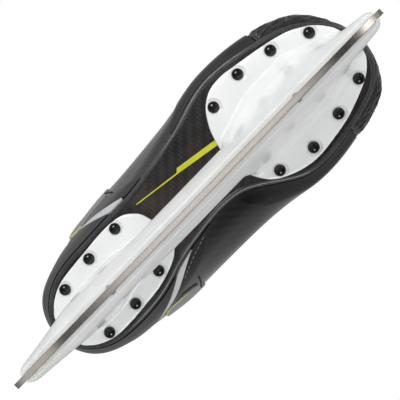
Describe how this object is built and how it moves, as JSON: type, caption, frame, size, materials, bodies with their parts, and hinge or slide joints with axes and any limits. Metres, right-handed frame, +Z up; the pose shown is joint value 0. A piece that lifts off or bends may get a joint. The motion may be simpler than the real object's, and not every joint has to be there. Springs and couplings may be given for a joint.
{
  "type": "ice hockey skate",
  "caption": "Right-foot ice skate: stiff laced boot on a two-post plastic holder with a replaceable steel runner.",
  "frame": {"origin": "middle of the bounding box seen from above, at the height of the ice", "axes": "+X towards the toe, +Y towards the inner (medial) side of the right foot, +Z up"},
  "size_m": [0.289, 0.1046, 0.2778],
  "materials": {
    "steel": "ground and polished",
    "holder": "moulded, glossy",
    "rivet": "black, glossy",
    "hardware": "plated",
    "outsole": "clear-coated carbon composite",
    "carbon": "clear-coated carbon weave",
    "toe_cap": "moulded, lightly textured",
    "counter": "satin",
    "silver": "satin silver",
    "facing": "coated microfibre",
    "liner": "brushed microfibre over foam",
    "felt": "felt",
    "plastic": "satin",
    "footbed": "foam with a woven cover",
    "board": "plain",
    "lace": "waxed cotton"
  },
  "bodies": {
    "boot": {"holder": "holder", "front_runner_washer": "hardware", "front_runner_nut": "hardware", "rear_runner_washer": "hardware", "rear_runner_nut": "hardware", "front_outer_rivet_1": "rivet", "front_outer_rivet_2": "rivet", "front_outer_rivet_3": "rivet", "front_outer_rivet_4": "rivet", "front_inner_rivet_1": "rivet", "front_inner_rivet_2": "rivet", "front_inner_rivet_3": "rivet", "front_inner_rivet_4": "rivet", "rear_outer_rivet_1": "rivet", "rear_outer_rivet_2": "rivet", "rear_outer_rivet_3": "rivet", "rear_inner_rivet_1": "rivet", "rear_inner_rivet_2": "rivet", "rear_inner_rivet_3": "rivet", "outsole": "outsole", "insole_board": "board", "footbed": "footbed", "toe_cap": "toe_cap", "toe_lining": "liner", "outer_quarter": "carbon", "outer_facing": "facing", "outer_liner": "liner", "outer_silver_band": "silver", "inner_quarter": "carbon", "inner_facing": "facing", "inner_liner": "liner", "inner_silver_band": "silver", "heel_counter": "counter", "tendon_guard_base": "plastic", "tongue": "felt", "lace_bite_guard": "plastic", "lace": "lace", "outer_eyelet_1": "hardware", "outer_eyelet_2": "hardware", "outer_eyelet_3": "hardware", "outer_eyelet_4": "hardware", "outer_eyelet_5": "hardware", "outer_eyelet_6": "hardware", "outer_eyelet_7": "hardware", "outer_eyelet_8": "hardware", "outer_eyelet_9": "hardware", "outer_eyelet_10": "hardware", "inner_eyelet_1": "hardware", "inner_eyelet_2": "hardware", "inner_eyelet_3": "hardware", "inner_eyelet_4": "hardware", "inner_eyelet_5": "hardware", "inner_eyelet_6": "hardware", "inner_eyelet_7": "hardware", "inner_eyelet_8": "hardware", "inner_eyelet_9": "hardware", "inner_eyelet_10": "hardware"},
    "runner": {"runner": "steel"},
    "tendon_guard": {"tendon_guard": "plastic"},
    "tongue_top": {"tongue_top": "felt"}
  },
  "joints": [
    {"name": "tongue_flex", "type": "hinge", "parent": "boot", "child": "tongue_top", "pos_m": [-0.045, 0, 0.238], "axis": [0, 1, 0], "range_deg": [0, 60], "stiffness_Nm_per_rad": 0.3},
    {"name": "tendon_guard_flex", "type": "hinge", "parent": "boot", "child": "tendon_guard", "pos_m": [-0.1249, 0, 0.229], "axis": [0, -1, 0], "range_deg": [0, 35], "stiffness_Nm_per_rad": 3},
    {"name": "runner_release", "type": "slide", "parent": "boot", "child": "runner", "axis": [0, 0, 1], "range_m": [-0.035, 0]}
  ]
}
